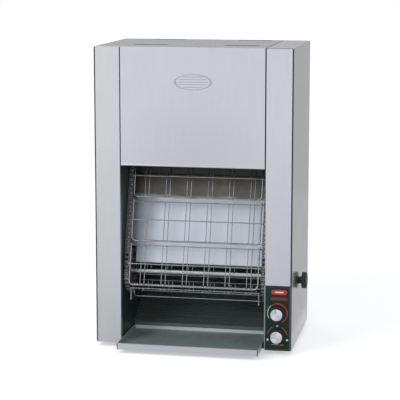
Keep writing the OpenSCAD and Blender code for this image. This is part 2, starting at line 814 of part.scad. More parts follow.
module hand_knob() {
  lobe_n = 12;
  inner = body_w + 0.5;
  grip = body_w + knob_standoff - hand_knob_t;
  color("black") placed() translate([0, drive_y, drive_z]) difference() {
    union() {
      rod_x(inner, grip + 1, knob_hub_r);
      translate([grip, 0, 0]) rotate([0, 90, 0]) difference() {
        union() {
          cylinder(r = hand_knob_r, h = hand_knob_t - 2);
          translate([0, 0, hand_knob_t - 2]) cylinder(r1 = hand_knob_r, r2 = hand_knob_r - 2, h = 2);
        }
        for (k = [0:lobe_n - 1]) rotate([0, 0, k * 360 / lobe_n]) translate([hand_knob_r + 2.6, 0, -cut])
          cylinder(r = 4, h = hand_knob_t + 2 * cut);
      }
    }
    rod_x(inner - cut, body_w + knob_standoff - 3, drive_r);
  }
}

// ---- Heaters and sheet inside the housing ----

// Sheathed rod across the housing with a ceramic bead against the outside of each wall.
module heater_rod() {
  reach = (well_right - well_left) / 2 + skin;
  rod_x(-reach - 12, reach + 12, rod_r);
  for (flip = [0, 1]) mirror([flip, 0, 0]) rod_x(reach, reach + 7, rod_r + 3);
}

module front_heaters() {
  color("sienna") conveyor() for (p = front_rod_places) translate([0, p[0], p[1]]) heater_rod();
}

module centre_heaters() {
  color("sienna") conveyor() for (p = centre_rod_places) translate([0, p[0], p[1]]) heater_rod();
}

module front_reflector() {
  color("silver") conveyor() {
    half = (well_right - well_left) / 2;
    y = -front_reflector_out;
    low = front_rod_z0 - 24;
    high = front_rod_z0 + (front_rods - 1) * rod_pitch + 24;
    block([-half, y - skin, low], [half, y, high]);
    block([-half, y, low], [half, y + 9, low + skin]);
    block([-half, y, high - skin], [half, y + 9, high]);
  }
}

module rear_reflector() {
  color("silver") conveyor() {
    half = (well_right - well_left) / 2;
    y = rear_reflector_out;
    low = 30;
    high = run_l + 40;
    block([-half, y, low], [half, y + skin, high]);
    block([-half, y + skin, low], [half, y + 12, low + skin]);
    block([-half, y + skin, high - skin], [half, y + 12, high]);
  }
}

module centre_baffle() {
  color("whitesmoke") conveyor() {
    wall = (well_right - well_left) / 2;
    half = half_gauge - 12;
    clear = sprocket_r + 12;
    block([-half, -skin / 2, baffle_bottom], [half, skin / 2, baffle_top]);
    block([-wall, -skin / 2, clear], [wall, skin / 2, run_l - clear]);
    for (z = [baffle_bottom, baffle_top - skin]) block([-half, -5, z], [half, -skin / 2, z + skin]);
  }
}

// ---- Chute and pan ----

module toast_chute() {
  run = chute_top_y - chute_y;
  rise = chute_top_z - chute_z;
  slope = atan2(rise, run);
  length = norm([run, rise]);
  color("darkslategray") placed() {
    translate([well_left, chute_y, chute_z]) rotate([slope, 0, 0]) {
      cube([well_right - well_left, length, skin]);
      for (k = [1:rib_n]) translate([0, k * length / (rib_n + 1), skin - 0.3])
        cube([well_right - well_left, 2, 1.1]);
    }
    // Upright edge at the back and the hem that hangs over the pan's rear lip
    block([well_left, chute_top_y - 0.7, chute_top_z],
      [well_right, chute_top_y + skin - 0.7, chute_top_z + 34]);
    block([well_left, chute_y, chute_z - 2], [well_right, chute_y + skin, chute_z + skin]);
  }
}

module toast_pan() {
  y0 = -pan_reach;
  y1 = pan_d - pan_reach;
  z0 = base_t + pan_gap;
  color("lightsteelblue") placed() {
    block([pan_left, y0, z0], [pan_right, y1, z0 + pan_t]);
    for (x = [pan_left, pan_right - pan_t])
      block([x, y0, z0], [x + pan_t, y1, z0 + pan_h]);
    block([pan_left, y0, z0 - pan_drop], [pan_right, y0 + pan_t, z0 + pan_h]);
    block([pan_left, y1 - pan_t, z0], [pan_right, y1, z0 + pan_rear_h]);
    // Lip folded back along the front
    block([pan_left, y0, z0 + pan_h - pan_t], [pan_right, y0 + 7, z0 + pan_h]);
  }
}

// ---- Controls ----

bush_l = 9;                       // thread of a control behind and through the panel
control_d = 14;

// Dial with a skirt, a grip, a chamfered face, a pointer groove and its spindle.
module dial(pointer) {
  skirt_gap = 0.5;
  rotate([90, 0, 0]) difference() {
    union() {
      rotate_extrude() polygon([
        [0, skirt_gap], [dial_r + 2, skirt_gap], [dial_r + 2, 3], [dial_r, 5],
        [dial_r, dial_out - 1.5], [dial_r - 1.5, dial_out], [0, dial_out]
      ]);
      rod_z(-panel_t - control_d + 3, skirt_gap + 1, spindle_r);
    }
    rotate([0, 0, pointer]) translate([dial_r * 0.35, -0.6, dial_out - 0.8]) cube([dial_r, 1.2, 2]);
  }
}

// Body of a control behind the panel, with a bore that its dial's spindle turns in.
module control_body(r) {
  rotate([90, 0, 0]) difference() {
    union() {
      translate([0, 0, -panel_t - control_d]) cylinder(r = r, h = control_d);
      translate([0, 0, -panel_t - 1]) cylinder(r = spindle_r + 2, h = panel_t + 1);
      for (a = [210, 270, 330]) rotate([0, 0, a]) translate([r - 2, -2.5, -panel_t - control_d + 4])
        cube([7, 5, 1]);
    }
    translate([0, 0, -panel_t - control_d + 2]) cylinder(r = spindle_r + bearing_gap, h = 40);
  }
}

module colour_dial() {
  color("silver") placed() translate([dial_x, 0, colour_z]) dial(100);
}

module power_dial() {
  color("silver") placed() translate([dial_x, 0, power_z]) dial(180);
}

module colour_control() {
  color("dimgray") placed() translate([dial_x, 0, colour_z]) control_body(14);
}

module power_switch() {
  color("dimgray") placed() translate([dial_x, 0, power_z]) control_body(16);
}

left_side_panel();
right_side_panel();
left_front_cover();
right_front_cover();
hood_panel();
top_cover();
rear_panel();
base_plate();
feet();
casing_screws();
left_inner_wall();
right_inner_wall();
left_chain_guides();
right_chain_guides();
control_panel();
cord_gland();
terminal_block();
lower_shaft();
upper_shaft();
shaft_bearings();
lower_left_sprocket();
lower_right_sprocket();
upper_left_sprocket();
upper_right_sprocket();
front_left_chain();
front_right_chain();
upper_left_chain();
upper_right_chain();
rear_left_chain();
rear_right_chain();
lower_left_chain();
lower_right_chain();
for (k = [1:basket_n]) basket(k);
drive_gear();
pinion();
drive_shaft();
motor_bracket();
gearmotor();
hand_knob();
front_heaters();
centre_heaters();
front_reflector();
rear_reflector();
centre_baffle();
toast_chute();
toast_pan();
colour_dial();
power_dial();
colour_control();
power_switch();
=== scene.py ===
import json
import math

import bmesh
import bpy
from mathutils import Matrix, Vector


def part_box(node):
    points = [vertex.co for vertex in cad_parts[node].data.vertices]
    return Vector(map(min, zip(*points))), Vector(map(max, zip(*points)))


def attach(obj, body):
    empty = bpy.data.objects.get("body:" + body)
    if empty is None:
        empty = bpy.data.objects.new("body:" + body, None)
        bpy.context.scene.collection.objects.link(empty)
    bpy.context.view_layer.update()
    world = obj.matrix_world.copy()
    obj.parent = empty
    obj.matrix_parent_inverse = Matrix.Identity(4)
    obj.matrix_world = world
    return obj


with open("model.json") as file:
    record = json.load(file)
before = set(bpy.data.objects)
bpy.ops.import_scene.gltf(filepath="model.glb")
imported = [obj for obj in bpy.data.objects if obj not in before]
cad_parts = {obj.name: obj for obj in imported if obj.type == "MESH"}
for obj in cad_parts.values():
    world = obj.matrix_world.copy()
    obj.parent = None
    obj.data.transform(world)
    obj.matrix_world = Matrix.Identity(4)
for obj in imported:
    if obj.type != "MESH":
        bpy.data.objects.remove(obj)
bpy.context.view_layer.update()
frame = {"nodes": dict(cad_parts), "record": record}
nodes = frame["nodes"]

# Casing's front lower left corner in the part's own frame, in millimetres
ORIGIN = (293.0, 160.0, -12.0)
# Spindles of the two dials
DIAL_X = 524.6
COLOUR_Z = 108.0
POWER_Z = 43.4
# Inner edges of the two front columns
COLUMN_LEFT = 75.0
COLUMN_RIGHT = 487.0
# A millimetre left of the middle between them
OPENING_X = (COLUMN_LEFT + COLUMN_RIGHT) / 2 - 1
# Lower and upper edge of the chute: depth behind the casing's front, and height
CHUTE_FOOT = (163.0, 21.0)
CHUTE_HEAD = (360.0, 150.0)
# Thickness of its sheet
CHUTE_SKIN = 1.2
# Top of the pan's rear lip
PAN_REAR_TOP = 13.1


def place(x, y, z):
    """Point of the casing's frame, in millimetres, as a point of the part's frame in metres."""
    return Vector(((x - ORIGIN[0]) / 1000, (y - ORIGIN[1]) / 1000, (z - ORIGIN[2]) / 1000))


# ---- Camera ----

CAMERA_PLACE = (0.77665, -4.1072, 1.1231)
CAMERA_TILT = 0.1556              # down from level, in radians
CAMERA_TURN = 0.1917              # to the left of straight ahead, in radians
LENS = 131.07
LENS_SHIFT = -0.05


def set_camera():
    bpy.ops.object.camera_add(location=CAMERA_PLACE,
                              rotation=(math.pi / 2 - CAMERA_TILT, 0, CAMERA_TURN))
    camera = bpy.context.object
    camera.name = "camera"
    camera.data.sensor_width = 36
    camera.data.lens = LENS
    camera.data.shift_x = 0
    camera.data.shift_y = LENS_SHIFT
    camera.data.dof.use_dof = False
    camera.data.clip_end = 60
    bpy.context.scene.camera = camera


# ---- Materials ----

def linear(r, g, b):
    """Screen colour, 0 to 255, as the linear colour that a shader takes."""
    def one(v):
        v /= 255
        return v / 12.92 if v <= 0.04045 else ((v + 0.055) / 1.055) ** 2.4
    return (one(r), one(g), one(b), 1)


def shade(colour, k):
    return (colour[0] * k, colour[1] * k, colour[2] * k, 1)


class Finish:
    """A material under construction: a Principled shader and the textures that feed it."""

    def __init__(self, name, metallic=0.0, **constants):
        self.material = bpy.data.materials.new(name)
        self.material.use_nodes = True
        self.tree = self.material.node_tree
        self.shader = self.tree.nodes["Principled BSDF"]
        self.shader.inputs["Metallic"].default_value = metallic
        for socket, value in constants.items():
            self.shader.inputs[socket.replace("_", " ")].default_value = value
        self.coordinates = self.node("TexCoord").outputs["Object"]
        self.height = None

    def link(self, a, b):
        self.tree.links.new(a, b)

    def node(self, kind):
        return self.tree.nodes.new("ShaderNode" + kind)

    def mapped(self, scale=(1, 1, 1), centre=(0, 0, 0)):
        """Object coordinates with the centre moved to the origin, then stretched."""
        mover = self.node("Mapping")
        mover.inputs["Location"].default_value = [-c for c in centre]
        self.link(self.coordinates, mover.inputs["Vector"])
        sizer = self.node("Mapping")
        sizer.inputs["Scale"].default_value = scale
        self.link(mover.outputs["Vector"], sizer.inputs["Vector"])
        return sizer.outputs["Vector"]

    def noise(self, scale, detail, roughness=0.5, distortion=0.0, stretch=(1, 1, 1)):
        """Noise from 0 to 1, finer along an axis where the stretch is larger."""
        node = self.node("TexNoise")
        node.inputs["Scale"].default_value = scale
        node.inputs["Detail"].default_value = detail
        node.inputs["Roughness"].default_value = roughness
        node.inputs["Distortion"].default_value = distortion
        self.link(self.mapped(stretch), node.inputs["Vector"])
        return node.outputs["Fac"]

    def ranged(self, value, low, high, start=0.0, end=1.0, soft=False):
        """Maps a value from start..end to low..high, evenly or with soft ends."""
        node = self.node("MapRange")
        node.interpolation_type = "SMOOTHSTEP" if soft else "LINEAR"
        node.inputs["From Min"].default_value = start
        node.inputs["From Max"].default_value = end
        node.inputs["To Min"].default_value = low
        node.inputs["To Max"].default_value = high
        self.link(value, node.inputs["Value"])
        return node.outputs["Result"]

    def math(self, operation, a, b=0):
        """One operation on values; each is a number or a socket."""
        node = self.node("Math")
        node.operation = operation
        for socket, value in zip(node.inputs, (a, b)):
            if isinstance(value, (int, float)):
                socket.default_value = value
            else:
                self.link(value, socket)
        return node.outputs["Value"]

    def mixed(self, fac, a, b):
        """Colour between a and b; each is a colour or a socket."""
        node = self.node("Mix")
        node.data_type = "RGBA"
        self.link(fac, node.inputs["Factor"])
        for socket, value in ((node.inputs["A"], a), (node.inputs["B"], b)):
            if isinstance(value, tuple):
                socket.default_value = value
            else:
                self.link(value, socket)
        return node.outputs["Result"]

    def scaled(self, colour, factor):
        """Colour made lighter or darker by a value that varies over the piece."""
        node = self.node("VectorMath")
        node.operation = "SCALE"
        self.link(colour, node.inputs[0])
        self.link(factor, node.inputs["Scale"])
        return node.outputs["Vector"]

    def distance(self, centre):
        """Distance from a point of the part's frame, in metres."""
        node = self.node("VectorMath")
        node.operation = "DISTANCE"
        node.inputs[1].default_value = centre
        self.link(self.coordinates, node.inputs[0])
        return node.outputs["Value"]

    def axis(self, name):
        """One of the Object coordinates: X, Y or Z."""
        node = self.node("SeparateXYZ")
        self.link(self.coordinates, node.inputs["Vector"])
        return node.outputs[name]

    def wear(self, start, full):
        """1 where the surface turns sharply outwards, 0 elsewhere."""
        pointiness = self.node("NewGeometry").outputs["Pointiness"]
        return self.ranged(pointiness, 0, 1, start, full)

    def colour(self, value):
        self.link(value, self.shader.inputs["Base Color"])

    def rough(self, value):
        self.link(value, self.shader.inputs["Roughness"])

    def bump(self, value, distance):
        """Adds relief to what was there, its depth in metres."""
        node = self.node("Bump")
        node.inputs["Distance"].default_value = distance
        node.inputs["Strength"].default_value = 1.0
        self.link(value, node.inputs["Height"])
        if self.height is not None:
            self.link(self.height, node.inputs["Normal"])
        self.height = node.outputs["Normal"]
        self.link(self.height, self.shader.inputs["Normal"])


def sheet_steel(name, colour, grain, roughness, streak=0.06, dents=0.00012, metallic=1.0,
                painted_top_light=None, darker_middle=None, corners=None, shaded_above=None):
    """Brushed stainless sheet: fine scratches one way, faint blotches and a slow waviness.

    painted_top_light: shares of the colour low down and high up; the colour grows lighter towards
    the top, painted light as from a lamp above.
    darker_middle: point, reach and share of the colour at the point, which is darker round that
    point.
    corners: a lip's middle, half its length and the width of the open fold seam at each end,
    painted near black there as the seam's shade.
    shaded_above: height where painted shade starts, height where it is full, and its colour.
    """
    f = Finish(name, metallic=metallic)
    scratches = f.noise(1.0, detail=3, stretch=grain)
    blotch = f.noise(5.5, detail=3, roughness=0.55)
    smear = f.noise(14, detail=4, roughness=0.6, distortion=0.6)
    brushed = f.mixed(f.ranged(scratches, 0, 1, 0.25, 0.75),
                      shade(colour, 1 - streak), shade(colour, 1 + streak * 0.5))
    tone = f.mixed(f.ranged(blotch, 0, 0.35, 0.35, 0.75), brushed, shade(colour, 0.93))
    # Painted light: lighter towards the top, as if lit from above
    if painted_top_light:
        light_low, light_high = 0.42, 0.68
        tone = f.scaled(tone, f.ranged(f.axis("Z"), *painted_top_light, light_low, light_high, soft=True))
    # Darker round a point, fading out over the reach
    if darker_middle:
        centre, reach, middle_share = darker_middle
        tone = f.scaled(tone, f.ranged(f.distance(centre), middle_share, 1.0, 0.0, reach, soft=True))
    # Painted shade of the open fold seams at the lip's ends
    if corners:
        middle, half, seam = corners
        off = f.math("ABSOLUTE", f.math("SUBTRACT", f.axis("X"), middle))
        tone = f.scaled(tone, f.ranged(off, 1.0, 0.12, half - seam, half - seam * 0.8))
    # Painted shade above a height, with a ragged, mottled edge
    if shaded_above:
        start, full, shade_colour = shaded_above
        ragged = 0.008
        mottled_shade = f.mixed(f.ranged(smear, 0, 1, 0.3, 0.7), shade_colour, shade(shade_colour, 0.66))
        edge = f.math("ADD", f.axis("Z"), f.ranged(blotch, -ragged, ragged, 0.3, 0.7))
        tone = f.mixed(f.ranged(edge, 0, 1, start, full, soft=True), tone, mottled_shade)
    f.colour(tone)
    mottled = f.math("ADD", f.ranged(scratches, -0.05, 0.05),
                     f.ranged(smear, -0.04, 0.05, 0.3, 0.7))
    f.rough(f.math("ADD", mottled, roughness))
    f.bump(scratches, 0.000004)
    f.bump(f.noise(3.0, detail=1), dents)
    return f.material


def dark_housing(name, colour):
    """Dark heat-stained sheet inside the housing, with baked-on streaks."""
    f = Finish(name, metallic=0.35)
    stain = f.noise(7, detail=5, roughness=0.6, stretch=(1, 1, 0.5))
    run = f.noise(1, detail=4, stretch=(60, 60, 5))
    tone = f.mixed(f.ranged(stain, 0, 1, 0.35, 0.7), colour, shade(colour, 1.7))
    f.colour(f.mixed(f.ranged(run, 0, 0.5, 0.5, 0.8), tone, shade(colour, 0.6)))
    f.rough(f.ranged(stain, 0.34, 0.55, 0.3, 0.7))
    f.bump(run, 0.00002)
    f.bump(f.noise(500, detail=2), 0.00001)
    return f.material


def ribbed_chute(name, colour):
    """Chute sheet: dull heat-stained steel, brushed across and faintly marked by sliding toast."""
    f = Finish(name, metallic=0.5)
    stain = f.noise(9, detail=5, roughness=0.6)
    brushed = f.noise(1, detail=4, stretch=(4, 260, 260))
    slides = f.noise(1, detail=4, stretch=(70, 5, 5))
    tone = f.mixed(f.ranged(stain, 0, 1, 0.35, 0.7), colour, shade(colour, 1.25))
    lined = f.mixed(f.ranged(brushed, 0, 0.7, 0.4, 0.65), tone, shade(colour, 0.66))
    f.colour(f.mixed(f.ranged(slides, 0, 0.3, 0.55, 0.8), lined, shade(colour, 0.6)))
    f.rough(f.ranged(stain, 0.3, 0.5, 0.3, 0.7))
    f.bump(brushed, 0.00002)
    return f.material


def pan_floor(name, colour):
    """Dull floor of the pan, scratched by toast that is pulled forward over it."""
    f = Finish(name, metallic=0.2)
    stain = f.noise(11, detail=5, roughness=0.6)
    drag = f.noise(1, detail=4, stretch=(90, 9, 9))
    tone = f.mixed(f.ranged(stain, 0, 1, 0.35, 0.7), colour, shade(colour, 0.78))
    f.colour(f.mixed(f.ranged(drag, 0, 0.5, 0.5, 0.8), tone, shade(colour, 1.3)))
    f.rough(f.ranged(stain, 0.36, 0.55, 0.3, 0.7))
    f.bump(drag, 0.00002)
    return f.material


def painted_edge_shade(name, dark, light):
    """Dark edge faces: painted shade inside slots, louvres and seams, streaked like laser-cut
    edges.
    """
    f = Finish(name, metallic=0.4)
    drag = f.noise(1, detail=3, stretch=(900, 900, 90))
    f.colour(f.mixed(drag, dark, light))
    f.rough(f.ranged(drag, 0.5, 0.7))
    f.bump(drag, 0.00002)
    return f.material


def bright_wire(name, colour):
    """Nickel-plated wire, a little burnt and dull in patches."""
    f = Finish(name, metallic=1.0)
    burnt = f.noise(28, detail=4, roughness=0.6)
    brown = (colour[0] * 0.55, colour[1] * 0.52, colour[2] * 0.5, 1)
    f.colour(f.mixed(f.ranged(burnt, 0, 1, 0.52, 0.72), colour, brown))
    f.rough(f.ranged(burnt, 0.14, 0.32, 0.35, 0.7))
    f.bump(f.noise(900, detail=2), 0.00001)
    return f.material


def turned_steel(name, colour, roughness, oil=0.3):
    """Machined steel with turning marks and a film of dark oil."""
    f = Finish(name, metallic=1.0)
    film = f.noise(60, detail=5, roughness=0.65)
    marks = f.noise(1, detail=2, stretch=(1800, 300, 300))
    tone = f.mixed(f.ranged(film, 0, 1, 0.45, 0.75), colour, shade(colour, 1 - oil))
    f.colour(f.mixed(f.ranged(marks, 0, 0.4, 0.3, 0.8), tone, shade(colour, 1.12)))
    f.rough(f.ranged(film, roughness - 0.07, roughness + 0.12, 0.3, 0.7))
    f.bump(marks, 0.000012)
    return f.material


def moulded(name, colour, roughness, grain=1400, depth=0.00003):
    """Moulded plastic or rubber with a fine pebbled skin and scuffed edges."""
    f = Finish(name)
    pebble = f.noise(grain, detail=2)
    scuff = f.noise(45, detail=5, roughness=0.65)
    tone = f.mixed(f.ranged(scuff, 0, 1, 0.5, 0.75), colour, shade(colour, 1.45))
    f.colour(f.mixed(f.wear(0.53, 0.62), tone, shade(colour, 2.1)))
    f.rough(f.ranged(scuff, roughness - 0.06, roughness + 0.1, 0.3, 0.7))
    f.bump(pebble, depth)
    return f.material


def heater_sheath(name):
    """Heater rod: sheath dark with heat scale, blued towards the ends, with ceramic outside the
    walls.
    """
    f = Finish(name, metallic=0.55)
    scale = f.noise(90, detail=5, roughness=0.65)
    blue_start, wall, bead = 0.15, 0.205, 0.209
    far = f.math("ABSOLUTE", f.math("SUBTRACT", f.axis("X"), place(OPENING_X, 0, 0).x))
    tint = f.mixed(f.ranged(scale, 0, 1, 0.35, 0.65), linear(72, 64, 60), linear(104, 94, 88))
    blued = f.mixed(f.ranged(far, 0, 0.7, blue_start, wall), tint, linear(72, 74, 92))
    ceramic = f.ranged(far, 0, 1, bead - 0.0002, bead + 0.0002)
    f.colour(f.mixed(ceramic, blued, linear(214, 208, 190)))
    f.rough(f.ranged(scale, 0.38, 0.62, 0.3, 0.7))
    f.bump(scale, 0.00004)
    return f.material


def enamel_panel(name, colour):
    """Printed control panel: satin film with the faintest orange peel."""
    f = Finish(name, Specular_IOR_Level=0.2)
    peel = f.noise(220, detail=2)
    rub = f.noise(26, detail=4, roughness=0.6, stretch=(1, 1, 0.6))
    f.colour(f.mixed(f.ranged(rub, 0, 1, 0.35, 0.75), colour, shade(colour, 1.5)))
    f.rough(f.ranged(rub, 0.26, 0.42, 0.3, 0.7))
    f.bump(peel, 0.00002)
    return f.material


def painted(name, colour):
    """Sprayed machine paint with orange peel and rubbed edges."""
    f = Finish(name)
    peel = f.noise(260, detail=2)
    dirt = f.noise(16, detail=5, roughness=0.6)
    tone = f.mixed(f.ranged(dirt, 0, 0.8, 0.45, 0.75), colour, shade(colour, 0.72))
    f.colour(f.mixed(f.wear(0.53, 0.6), tone, shade(colour, 1.6)))
    f.rough(f.ranged(dirt, 0.35, 0.55, 0.3, 0.7))
    f.bump(peel, 0.00004)
    return f.material


def printed(name, colour):
    """Screen-printed ink with a slightly uneven film."""
    f = Finish(name)
    film = f.noise(420, detail=3, roughness=0.6)
    f.colour(f.mixed(f.ranged(film, 0, 1, 0.3, 0.75), colour, shade(colour, 0.72)))
    f.rough(f.ranged(film, 0.32, 0.48))
    f.bump(film, 0.00001)
    return f.material


def spun_face(name, x, z):
    """Spun aluminium: rings round the spindle, and light and dark sectors painted as the spun
    face's reflection.
    """
    f = Finish(name, metallic=1.0)
    split = f.node("SeparateXYZ")
    f.link(f.mapped(centre=place(x, 0, z)), split.inputs["Vector"])
    across, up = split.outputs["X"], split.outputs["Z"]
    sectors, ring_density = 2.0, 9000.0
    # Painted reflection: two light and two dark sectors round the spindle
    sheen_sectors = f.math("SINE", f.math("MULTIPLY", f.math("ARCTAN2", up, across), sectors))
    square = f.math("ADD", f.math("MULTIPLY", across, across), f.math("MULTIPLY", up, up))
    rings = f.math("SINE", f.math("MULTIPLY", f.math("SQRT", square), ring_density))
    stain = f.noise(120, detail=3)
    silver = linear(222, 222, 228)
    tone = f.mixed(f.ranged(sheen_sectors, 0, 1, -1, 1), shade(silver, 0.74), silver)
    f.colour(f.mixed(f.ranged(stain, 0, 0.5, 0.4, 0.8), tone, shade(silver, 0.8)))
    f.rough(f.ranged(stain, 0.24, 0.36, 0.3, 0.7))
    f.bump(rings, 0.000006)
    return f.material


# ---- Finish of each slot ----

STEEL = linear(193, 194, 200)
LIP = linear(198, 200, 206)
# Grain: fine across the brushing and coarse along it, for each axis
UPRIGHT = (900, 900, 9)
UPRIGHT_SIDE = (700, 700, 7)
SIDEWAYS = (9, 700, 700)
# By slot, as the loaded nodes' plain materials hold the same names in Blender already
materials = {
    # Painted light on the front: lighter towards the top
    "stainless_front": sheet_steel("stainless_front", STEEL, UPRIGHT, 0.34, streak=0.08,
                                   painted_top_light=(0.985, 1.06)),
    "stainless_side": sheet_steel("stainless_side", linear(198, 199, 202), UPRIGHT_SIDE, 0.14,
                                  streak=0.04),
    "stainless_top": sheet_steel("stainless_top", linear(200, 201, 206), (8, 900, 900), 0.30),
    "housing_dark": dark_housing("housing_dark", linear(46, 58, 57)),
    "panel_green_black": enamel_panel("panel_green_black", linear(13, 40, 29)),
    "bright_wire": bright_wire("bright_wire", linear(158, 161, 166)),
    "chain_steel": turned_steel("chain_steel", linear(128, 130, 134), 0.36, oil=0.5),
    "shaft_steel": turned_steel("shaft_steel", linear(176, 178, 182), 0.26),
    "gear_steel": turned_steel("gear_steel", linear(140, 138, 134), 0.42, oil=0.4),
    # Painted shade on the baffle's upper part, under the hood
    "baffle_steel": sheet_steel("baffle_steel", linear(184, 192, 202), (600, 9, 9), 0.4,
                                dents=0.0003, shaded_above=(0.413, 0.426, linear(115, 112, 105))),
    "bearing_bronze": turned_steel("bearing_bronze", linear(176, 140, 88), 0.4),
    "motor_paint": painted("motor_paint", linear(96, 106, 116)),
    "plated_steel": sheet_steel("plated_steel", linear(186, 188, 194), (40, 40, 40), 0.36,
                                streak=0.1),
    "heater_sheath": heater_sheath("heater_sheath"),
    "black_plastic": moulded("black_plastic", linear(22, 22, 24), 0.42),
    "ivory_plastic": moulded("ivory_plastic", linear(222, 214, 190), 0.45, grain=900),
    "control_body": moulded("control_body", linear(64, 66, 72), 0.45),
    "foot_rubber": moulded("foot_rubber", linear(26, 26, 27), 0.7, grain=700, depth=0.00008),
    "pan_steel": pan_floor("pan_steel", linear(146, 160, 159)),
    # Second finishes, for some faces of a node or for a piece of their own
    # Painted shade for slot walls, louvre walls and seams
    "painted_edge_shade": painted_edge_shade("painted_edge_shade", linear(34, 34, 36), linear(66, 62, 58)),
    # Painted shade on the side panel's front edge
    "panel_edge_shade": painted_edge_shade("panel_edge_shade", linear(84, 87, 90), linear(120, 122, 124)),
    "pointer_ink": printed("pointer_ink", linear(96, 60, 62)),
    "pan_lip": sheet_steel("pan_lip", LIP, SIDEWAYS, 0.42, metallic=0.35),
    # Near white and barely metal: painted light on the pan's rear lip, deep in the opening
    "pan_rear_lip_painted_light": sheet_steel("pan_rear_lip_painted_light", linear(240, 243, 247), SIDEWAYS, 0.45,
                                metallic=0.2),
    "apron_steel": sheet_steel("apron_steel", linear(124, 134, 134), SIDEWAYS, 0.4),
    "stainless_fold": sheet_steel("stainless_fold", linear(216, 217, 220), (9, 900, 900), 0.30),
    # Lighter rib tops of the chute: painted highlight
    "rib_top_highlight": turned_steel("rib_top_highlight", linear(150, 162, 159), 0.34),
    "folded_edge": sheet_steel("folded_edge", linear(138, 148, 150), UPRIGHT_SIDE, 0.4),
    # Darker steel for the oval's rim and ribs: painted shade of their relief
    "stamped_rim_shade": sheet_steel("stamped_rim_shade", linear(164, 166, 172), UPRIGHT, 0.5),
}
# Nodes that differ from the other nodes of their slot
node_finishes = {
    # Painted light on the hood: lighter towards the top
    "hood_panel": sheet_steel("stainless_hood", STEEL, UPRIGHT, 0.34, streak=0.08,
                              # Darker round a point low in the hood's middle
                              painted_top_light=(1.02, 1.045), darker_middle=(place(285, 0, 505), 0.3, 0.88)),
    "toast_chute": ribbed_chute("ribbed_chute", linear(110, 121, 118)),
    "colour_dial": spun_face("spun_aluminium_colour", DIAL_X, COLOUR_Z),
    "power_dial": spun_face("spun_aluminium_power", DIAL_X, POWER_Z),
}


# ---- Dressing of the nodes ----

# Tolerance of the tests by place, in metres
SKIN_DEPTH = 0.0005


def dress(node, material):
    """Gives every face of a node one finish."""
    data = nodes[node].data
    data.materials.clear()
    data.materials.append(material)
    for face in data.polygons:
        face.material_index = 0


def dress_faces(node, material, wanted):
    """Gives a second finish to the faces whose centre and normal pass the test."""
    data = nodes[node].data
    data.materials.append(material)
    index = len(data.materials) - 1
    for face in data.polygons:
        if wanted(face.center, face.normal):
            face.material_index = index


def dress_casing():
    """Painted shade on the edges of the slots and louvres, on the side panel's front edge and in
    the top seam, and the folds of the sheets.
    """
    # Edges of the slots and louvres, which lie inside the sheet's outline, get painted shade
    rim = 0.004
    for node, wall in (("top_cover", 2), ("rear_panel", 1)):
        low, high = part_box(node)
        inside = [k for k in range(3) if k != wall]
        dress_faces(node, materials["painted_edge_shade"], lambda c, n: abs(n[wall]) < 0.5 and all(
            low[k] + rim < c[k] < high[k] - rim for k in inside))
    front_edge = place(0, 1.3, 0).y
    dress_faces("right_inner_wall", materials["folded_edge"], lambda c, n: c.y < front_edge)
    # The side panel's front edge is dark: painted shade
    dress_faces("right_side_panel", materials["panel_edge_shade"], lambda c, n: n.y < -0.9)
    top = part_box("top_cover")[1]
    dress_faces("right_side_panel", materials["stainless_fold"],
                lambda c, n: n.z > 0.9 and c.z > top.z - SKIN_DEPTH)
    # Painted shade in the seam between the top cover and the right side's fold
    seam, fold = top.x - SKIN_DEPTH, 0.006
    dress_faces("top_cover", materials["painted_edge_shade"], lambda c, n: n.x > 0.9 and c.x > seam)
    dress_faces("right_side_panel", materials["painted_edge_shade"],
                lambda c, n: n.x < -0.9 and c.x < seam + fold)


def dress_pan():
    """The pan's lips and the outside of its sides are bright, and toast dulls the inside; the rear
    lip is near white, painted light, and the front lip's ends carry painted shade of the open fold
    seams.
    """
    low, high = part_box("toast_pan")
    above_floor = low.z + 0.006

    def bright(c, n):
        lip_top = c.z > above_floor and n.z > 0.5
        outside = abs(n.x) > 0.5 and not low.x + SKIN_DEPTH < c.x < high.x - SKIN_DEPTH
        return lip_top or abs(n.y) > 0.5 or outside

    dress_faces("toast_pan", materials["pan_lip"], bright)
    # The rear lip's face gets painted light
    rear_lip = high.y - 0.002
    dress_faces("toast_pan", materials["pan_rear_lip_painted_light"], lambda c, n: c.y > rear_lip)
    # Painted shade of the open fold seam at each end of the front lip
    seam = 0.0028
    front_lip = sheet_steel("pan_front_lip", LIP, SIDEWAYS, 0.42, metallic=0.35,
                            corners=((low.x + high.x) / 2, (high.x - low.x) / 2, seam))
    dress_faces("toast_pan", front_lip, lambda c, n: n.y < -0.5 and c.y < low.y + SKIN_DEPTH)


def dress_chute():
    """Rib tops get a lighter colour, a painted highlight; they stand above the chute's sheet."""
    foot = place(0, *CHUTE_FOOT)
    slope = (place(0, *CHUTE_HEAD) - foot).normalized()
    up = Vector((0, -slope.z, slope.y))
    above_sheet = (CHUTE_SKIN + 0.4) / 1000
    dress_faces("toast_chute", materials["rib_top_highlight"],
                lambda c, n: n.dot(up) > 0.9 and (c - foot).dot(up) > above_sheet)


def dress_dials():
    """Black skirts behind the spun faces, and ink in the pointers' grooves."""
    for dial in ("colour_dial", "power_dial"):
        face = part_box(dial)[0].y
        cap, pointer = face + 0.002, face + SKIN_DEPTH
        dress_faces(dial, materials["black_plastic"], lambda c, n: c.y > cap or n.y > -0.3)
        dress_faces(dial, materials["pointer_ink"],
                    lambda c, n: pointer < c.y < cap and n.y < -0.9)


def dress_nodes():
    """Gives every node the finish of its slot or its own, then the second finishes."""
    for part in frame["record"]["subparts"]:
        node = part["node"]
        dress(node, node_finishes.get(node) or materials[part["material_slot"]])
    dress_casing()
    dress_pan()
    dress_chute()
    dress_dials()


# ---- Modelling helpers ----

